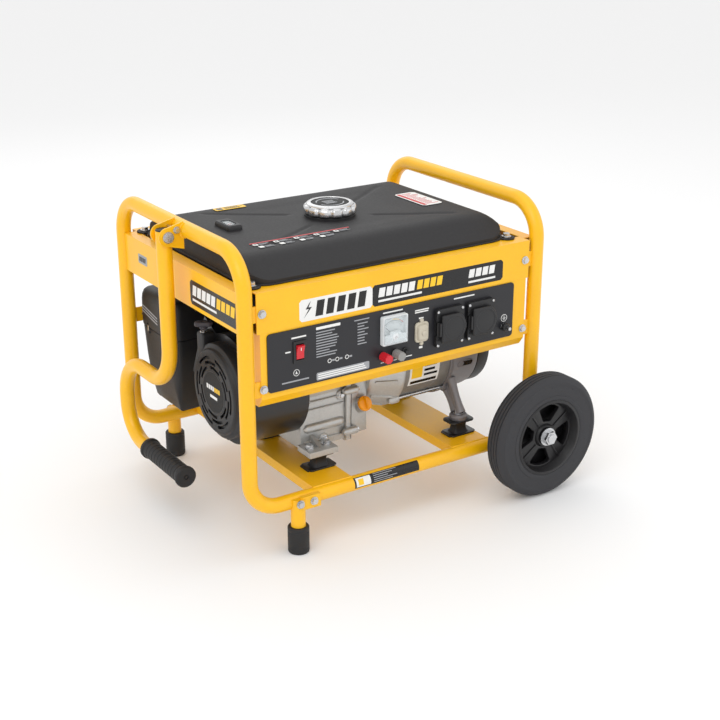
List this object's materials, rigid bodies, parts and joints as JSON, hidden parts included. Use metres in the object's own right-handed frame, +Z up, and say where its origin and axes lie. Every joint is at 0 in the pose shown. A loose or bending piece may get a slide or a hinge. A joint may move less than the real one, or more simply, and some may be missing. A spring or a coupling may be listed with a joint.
{
  "type": "portable generator",
  "caption": "Open-frame petrol generator in a tube frame with a fuel tank, a control panel, two wheels, two feet and a fold-down tow handle.",
  "frame": {"origin": "on the ground, below the middle of the whole machine", "axes": "+X from the recoil starter end to the wheel end, -Y is the side with the control panel, +Z up"},
  "size_m": [0.7034, 0.598, 0.516],
  "materials": {
    "yellow_paint": "semi-gloss powder coat",
    "black_paint": "satin black paint",
    "cast_alloy": "as-cast and blasted",
    "dark_cast_alloy": "as-cast, painted grey",
    "zinc_steel": "zinc plated",
    "machined_steel": "machined",
    "laminated_steel": "varnished laminations",
    "black_plastic": "fine moulded grain",
    "panel_black": "printed film, satin",
    "rubber": "matt",
    "tyre_rubber": "matt",
    "meter_plastic": "clear and white plastic",
    "red_plastic": "gloss",
    "grey_plastic": "satin",
    "beige_rubber": "soft, matt",
    "orange_plastic": "gloss",
    "rope": "braided"
  },
  "bodies": {
    "root": {"left_hoop": "yellow_paint", "right_hoop": "yellow_paint", "front_rail": "yellow_paint", "rear_rail": "yellow_paint", "crossmembers": "yellow_paint", "left_end_plate": "yellow_paint", "right_end_plate": "yellow_paint", "rear_tank_rail": "yellow_paint", "support_legs": "yellow_paint", "rubber_feet": "rubber", "wheel_brackets": "zinc_steel", "handle_bracket": "yellow_paint", "panel_top_rail": "yellow_paint", "control_box": "yellow_paint", "control_fascia": "panel_black", "voltmeter_case": "meter_plastic", "circuit_breaker": "beige_rubber", "socket_outlets": "black_plastic", "switch_body": "black_plastic", "fuel_tank": "black_paint", "fuel_gauge": "black_plastic", "fuel_tap": "cast_alloy", "fuel_hose": "rubber", "crankcase": "cast_alloy", "crankcase_cover": "cast_alloy", "cylinder_barrel": "cast_alloy", "cylinder_head": "cast_alloy", "valve_cover": "cast_alloy", "muffler": "machined_steel", "air_cleaner": "black_plastic", "carburettor": "cast_alloy", "blower_shroud": "black_paint", "recoil_cover": "black_plastic", "starter_rope": "rope", "alternator_housing": "dark_cast_alloy", "stator": "laminated_steel", "rubber_mounts": "rubber", "fasteners": "zinc_steel"},
    "front_wheel": {"front_tyre": "tyre_rubber", "front_wheel_hub": "black_plastic"},
    "rear_wheel": {"rear_tyre": "tyre_rubber", "rear_wheel_hub": "black_plastic"},
    "tow_handle": {"tow_handle": "yellow_paint", "handle_grip": "rubber"},
    "meter_needle": {"voltmeter_needle": "black_plastic"},
    "breaker_button": {"breaker_button": "black_plastic"},
    "left_lid": {"left_socket_lid": "black_plastic"},
    "right_lid": {"right_socket_lid": "black_plastic"},
    "rocker": {"rocker_switch": "red_plastic"},
    "plus_cap": {"positive_terminal_cap": "red_plastic"},
    "minus_cap": {"negative_terminal_cap": "grey_plastic"},
    "fuel_cap": {"fuel_cap": "zinc_steel"},
    "tap_lever": {"fuel_tap_lever": "red_plastic"},
    "choke_lever": {"choke_lever": "black_plastic"},
    "reel": {"recoil_reel": "black_plastic"},
    "starter_grip": {"starter_grip": "grey_plastic"},
    "crank": {"flywheel": "laminated_steel", "crankshaft": "machined_steel"},
    "piston": {"piston": "cast_alloy"},
    "dipstick": {"oil_dipstick": "orange_plastic"}
  },
  "joints": [
    {"name": "front_wheel_spin", "type": "hinge", "parent": "root", "child": "front_wheel", "pos_m": [0.24175, -0.271, 0.11], "axis": [0, 1, 0], "continuous": true},
    {"name": "rear_wheel_spin", "type": "hinge", "parent": "root", "child": "rear_wheel", "pos_m": [0.24175, 0.271, 0.11], "axis": [0, 1, 0], "continuous": true},
    {"name": "tow_handle_fold", "type": "hinge", "parent": "root", "child": "tow_handle", "pos_m": [-0.33325, -0.018, 0.494], "axis": [0, 1, 0], "range_deg": [0, 95]},
    {"name": "meter_needle_swing", "type": "hinge", "parent": "root", "child": "meter_needle", "pos_m": [-0.03725, -0.223, 0.3305], "axis": [0, 1, 0], "range_deg": [0, 90], "stiffness_Nm_per_rad": 0.0002},
    {"name": "breaker_push", "type": "slide", "parent": "root", "child": "breaker_button", "axis": [0, 1, 0], "range_m": [0, 0.003], "stiffness_N_per_m": 300},
    {"name": "left_lid_hinge", "type": "hinge", "parent": "root", "child": "left_lid", "pos_m": [0.04775, -0.2246, 0.3255], "axis": [0, 0, -1], "range_deg": [0, 100], "stiffness_Nm_per_rad": 0.02},
    {"name": "right_lid_hinge", "type": "hinge", "parent": "root", "child": "right_lid", "pos_m": [0.11175, -0.2246, 0.3255], "axis": [0, 0, -1], "range_deg": [0, 100], "stiffness_Nm_per_rad": 0.02},
    {"name": "rocker_tilt", "type": "hinge", "parent": "root", "child": "rocker", "pos_m": [-0.21025, -0.218, 0.3385], "axis": [-1, 0, 0], "range_deg": [0, 18]},
    {"name": "plus_cap_turn", "type": "hinge", "parent": "root", "child": "plus_cap", "pos_m": [-0.05725, -0.228, 0.299], "axis": [0, 1, 0], "range_deg": [0, 720]},
    {"name": "minus_cap_turn", "type": "hinge", "parent": "root", "child": "minus_cap", "pos_m": [-0.03225, -0.228, 0.299], "axis": [0, 1, 0], "range_deg": [0, 720]},
    {"name": "fuel_cap_turn", "type": "hinge", "parent": "root", "child": "fuel_cap", "pos_m": [-0.02025, -0.006, 0.495], "axis": [0, 0, 1], "range_deg": [0, 60]},
    {"name": "tap_lever_turn", "type": "hinge", "parent": "root", "child": "tap_lever", "pos_m": [-0.17225, -0.105, 0.37], "axis": [1, 0, 0], "range_deg": [0, 90]},
    {"name": "choke_lever_turn", "type": "hinge", "parent": "root", "child": "choke_lever", "pos_m": [-0.23225, 0.079, 0.33], "axis": [0, 1, 0], "range_deg": [0, 60]},
    {"name": "reel_spin", "type": "hinge", "parent": "root", "child": "reel", "pos_m": [-0.27025, -0.068, 0.236], "axis": [1, 0, 0], "range_deg": [0, 660], "stiffness_Nm_per_rad": 0.02},
    {"name": "starter_pull", "type": "slide", "parent": "root", "child": "starter_grip", "axis": [-0.5, -0.866, 0], "range_m": [0, 0.56]},
    {"name": "crank_spin", "type": "hinge", "parent": "root", "child": "crank", "pos_m": [-0.02025, -0.068, 0.236], "axis": [1, 0, 0], "continuous": true},
    {"name": "piston_stroke", "type": "slide", "parent": "root", "child": "piston", "axis": [0, 0.9063, 0.4226], "range_m": [-0.027, 0.027]},
    {"name": "dipstick_turn", "type": "hinge", "parent": "root", "child": "dipstick", "pos_m": [-0.03625, -0.13389, 0.18245], "axis": [0, -0.8829, 0.4695], "range_deg": [0, 720]}
  ],
  "couplings": [
    {"joint": "starter_pull", "follows": "reel_spin", "m_per_rad": 0.048}
  ]
}
